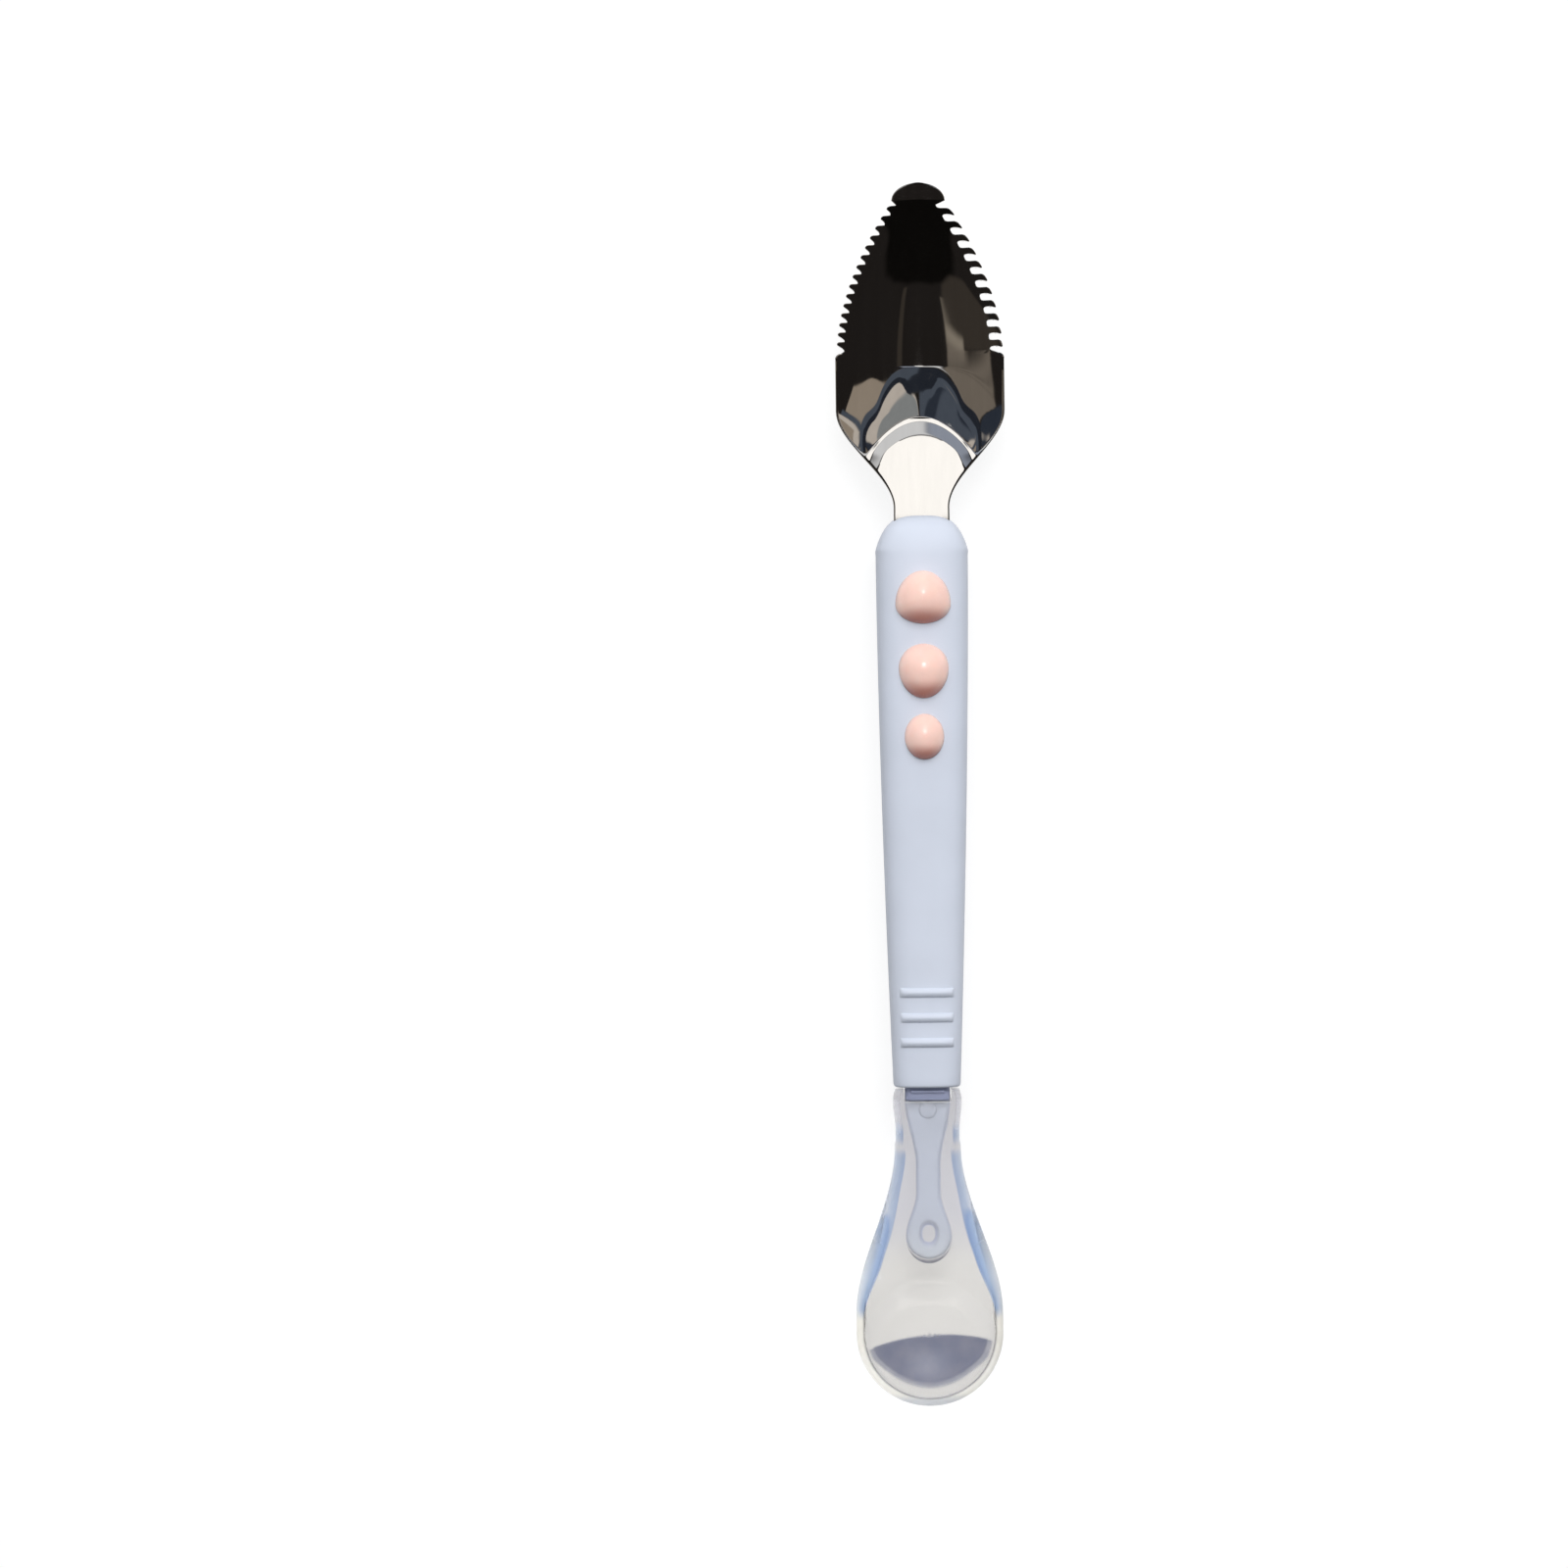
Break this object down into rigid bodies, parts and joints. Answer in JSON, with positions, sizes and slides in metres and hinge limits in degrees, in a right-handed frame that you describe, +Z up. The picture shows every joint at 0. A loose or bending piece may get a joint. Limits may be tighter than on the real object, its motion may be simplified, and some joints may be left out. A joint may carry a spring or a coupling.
{
  "type": "feeding spoon",
  "caption": "Double-ended feeding spoon with a toothed steel scraping bowl, a beaded and ribbed soft-touch handle, and a clear silicone bowl that pulls off its tongue.",
  "frame": {"origin": "below the middle of the overall length, on the plane that the handle's flat back rests on", "axes": "+Y along the spoon towards the steel tip, +Z up out of the bowls, +X across to the hooked teeth"},
  "size_m": [0.0244, 0.1768, 0.0144],
  "materials": {
    "polished_steel": "mirror-polished stainless steel sheet",
    "handle_plastic": "soft-touch pale lavender moulding, fine satin texture",
    "core_plastic": "plain moulded lavender-grey plastic, satin",
    "bead_rubber": "soft pale pink thermoplastic rubber, matt",
    "clear_silicone": "clear food-grade silicone, smooth and slightly glossy"
  },
  "bodies": {
    "handle": {"steel_spoon": "polished_steel", "end_cap": "handle_plastic", "handle_shell": "handle_plastic", "handle_core": "core_plastic", "grip_bead_upper": "bead_rubber", "grip_bead_middle": "bead_rubber", "grip_bead_lower": "bead_rubber"},
    "silicone_head": {"silicone_bowl": "clear_silicone"}
  },
  "joints": [
    {"name": "head_pull", "type": "slide", "parent": "handle", "child": "silicone_head", "axis": [0, -1, 0], "range_m": [0, 0.026]}
  ]
}
